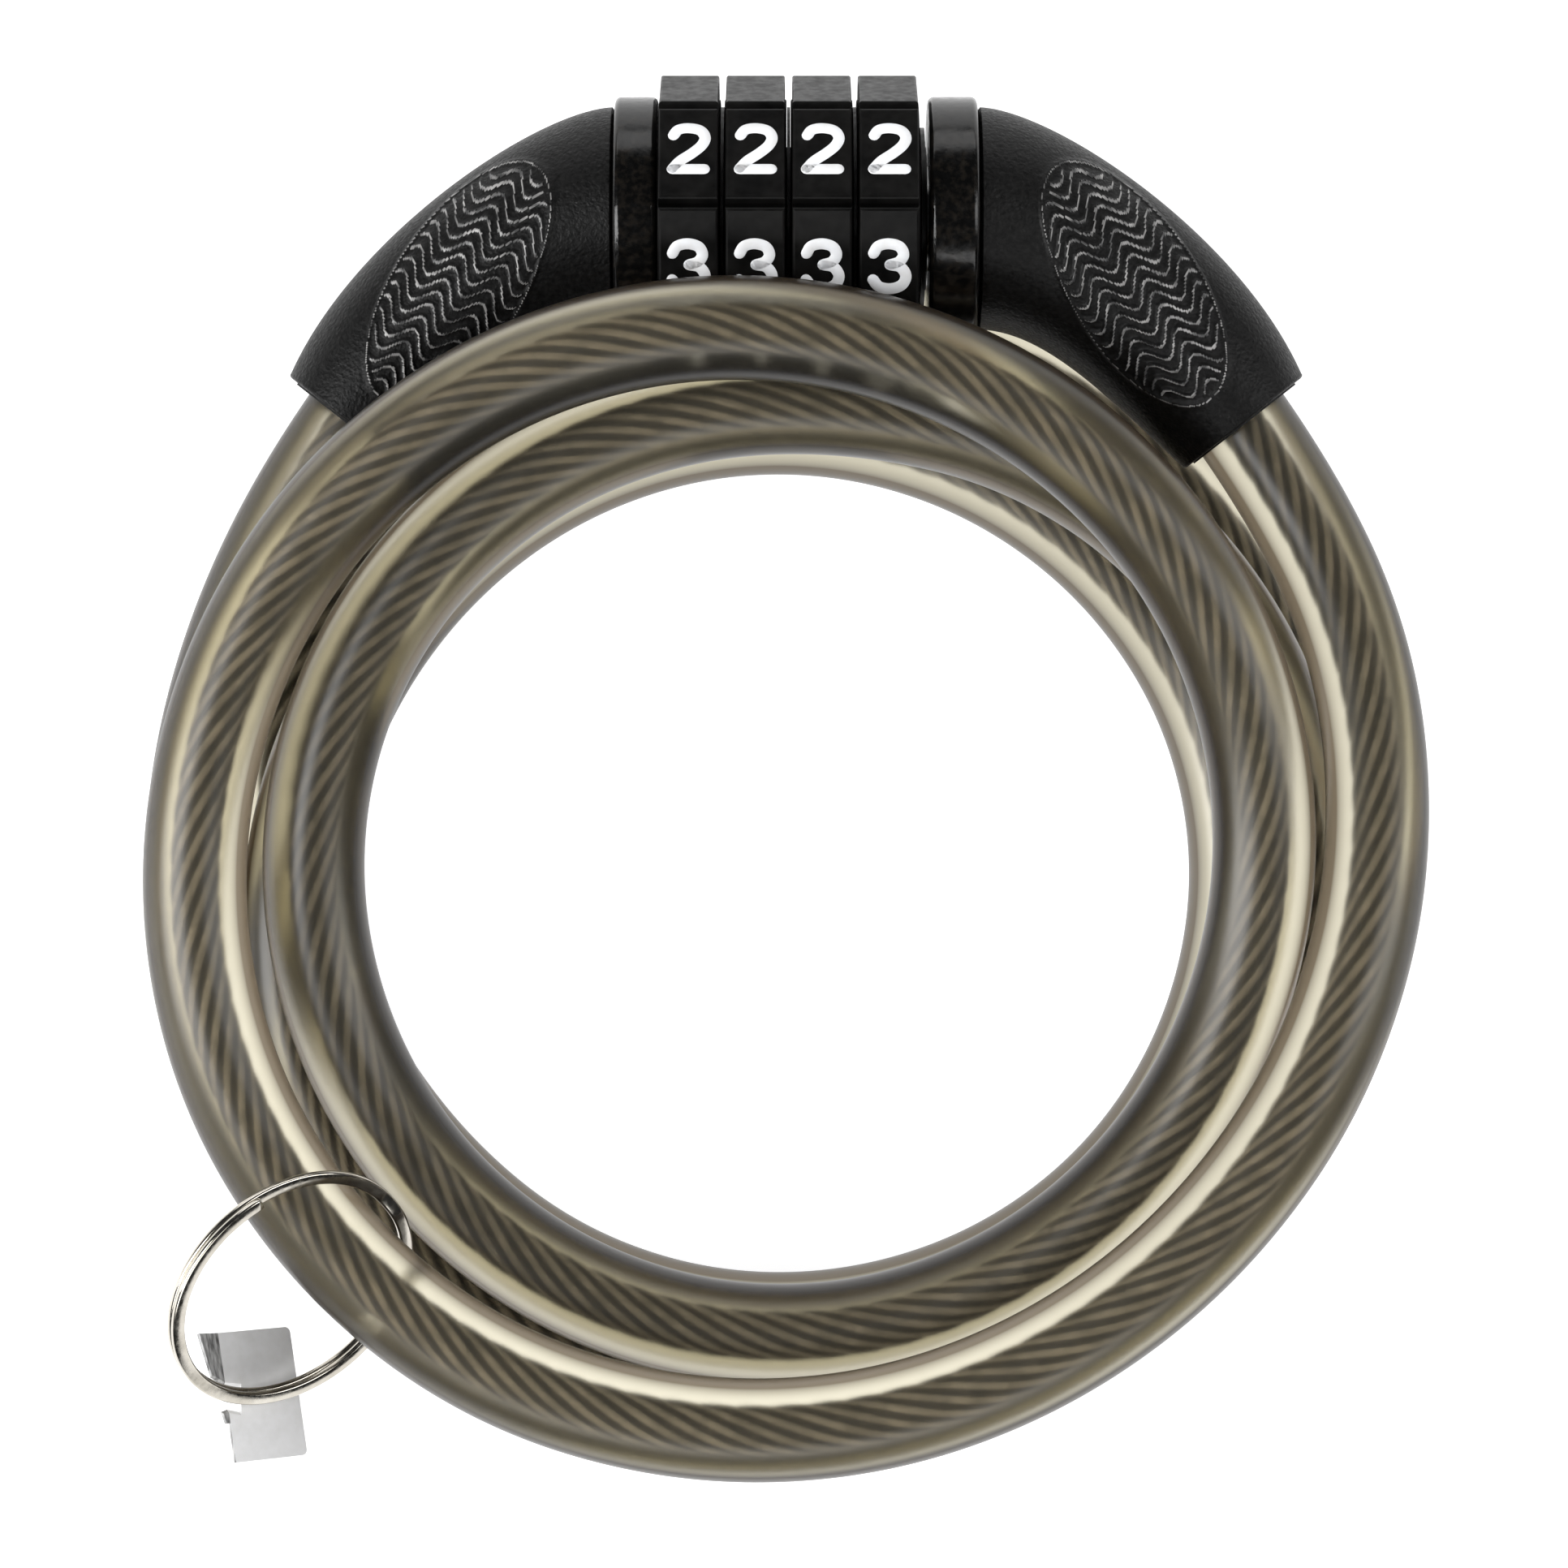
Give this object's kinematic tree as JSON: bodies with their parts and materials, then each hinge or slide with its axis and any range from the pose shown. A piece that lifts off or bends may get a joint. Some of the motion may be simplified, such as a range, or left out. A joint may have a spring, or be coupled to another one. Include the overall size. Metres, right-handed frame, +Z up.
{
  "type": "combination cable lock",
  "caption": "Resettable combination cable lock: self-coiling jacketed steel cable, both ends held in a barrel head with turning number rings; split key ring with a blank tag.",
  "frame": {"origin": "on the plane the coil lies on, in the middle of the coil", "axes": "+Z up along the coil's axis, out of the surface it lies on; +X along the dial axis, towards the sleeve that pulls out; +Y from the middle of the coil towards the locking head"},
  "size_m": [0.1268, 0.1398, 0.0437],
  "materials": {
    "dial_plastic": "satin black moulded number ring",
    "code_ring_zinc": "die-cast zinc, as cast",
    "washer_plastic": "black sheet plastic",
    "core_steel": "turned, zinc plated",
    "black_steel": "black phosphated steel",
    "spring_steel": "bare spring steel",
    "collar_gloss": "glossy black",
    "sleeve_plastic": "fine-grained matte black grip",
    "ferrule_aluminium": "crimped aluminium",
    "rope_steel": "laid steel wire rope",
    "grommet_rubber": "soft black",
    "cable_jacket": "smoke-grey translucent soft PVC over steel rope",
    "ring_nickel": "polished nickel plate",
    "tag_card": "blank white coated label"
  },
  "bodies": {
    "lock": {"dial_washers": "washer_plastic", "lock_cylinder": "black_steel", "detent_spring": "spring_steel", "retaining_ring": "black_steel", "reset_spring": "spring_steel", "fixed_sleeve": "sleeve_plastic", "fixed_anchor": "core_steel", "fixed_ferrule": "ferrule_aluminium", "fixed_cross_pin": "core_steel", "fixed_rope_end": "rope_steel", "fixed_grommet": "grommet_rubber", "cable_coil_1": "cable_jacket", "cable_coil_2": "cable_jacket", "cable_coil_3": "cable_jacket", "cable_coil_4": "cable_jacket"},
    "plug": {"plug_pin": "core_steel", "plug_collar": "collar_gloss", "plug_sleeve": "sleeve_plastic", "plug_anchor": "core_steel", "plug_ferrule": "ferrule_aluminium", "plug_cross_pin": "core_steel", "plug_rope_end": "rope_steel", "plug_grommet": "grommet_rubber", "cable_lead": "cable_jacket"},
    "reset_knob": {"reset_collar": "collar_gloss"},
    "key_ring": {"split_ring": "ring_nickel"},
    "label": {"tag": "tag_card"},
    "number_1": {"dial_1": "dial_plastic", "code_ring_1": "code_ring_zinc"},
    "number_2": {"dial_2": "dial_plastic", "code_ring_2": "code_ring_zinc"},
    "number_3": {"dial_3": "dial_plastic", "code_ring_3": "code_ring_zinc"},
    "number_4": {"dial_4": "dial_plastic", "code_ring_4": "code_ring_zinc"}
  },
  "joints": [
    {"name": "number_1_turn", "type": "hinge", "parent": "lock", "child": "number_1", "pos_m": [0.0019, 0.0644, 0.0226], "axis": [1, 0, 0], "continuous": true},
    {"name": "number_2_turn", "type": "hinge", "parent": "lock", "child": "number_2", "pos_m": [0.0019, 0.0644, 0.0226], "axis": [1, 0, 0], "continuous": true},
    {"name": "number_3_turn", "type": "hinge", "parent": "lock", "child": "number_3", "pos_m": [0.0019, 0.0644, 0.0226], "axis": [1, 0, 0], "continuous": true},
    {"name": "number_4_turn", "type": "hinge", "parent": "lock", "child": "number_4", "pos_m": [0.0019, 0.0644, 0.0226], "axis": [1, 0, 0], "continuous": true},
    {"name": "plug_pull", "type": "slide", "parent": "lock", "child": "plug", "axis": [1, 0, 0], "range_m": [0, 0.03]},
    {"name": "reset_turn", "type": "hinge", "parent": "lock", "child": "reset_knob", "pos_m": [0.0019, 0.0644, 0.0226], "axis": [1, 0, 0], "range_deg": [0, 90]},
    {"name": "key_ring_swing", "type": "hinge", "parent": "lock", "child": "key_ring", "pos_m": [-0.04858, -0.028, 0.03314], "axis": [-0.5222, 0.8528, 0.0035], "range_deg": [-15, 105]},
    {"name": "label_swing", "type": "hinge", "parent": "key_ring", "child": "label", "pos_m": [-0.05245, -0.05062, 0.03061], "axis": [0.7096, -0.1787, -0.6816], "range_deg": [-20, 30]}
  ]
}
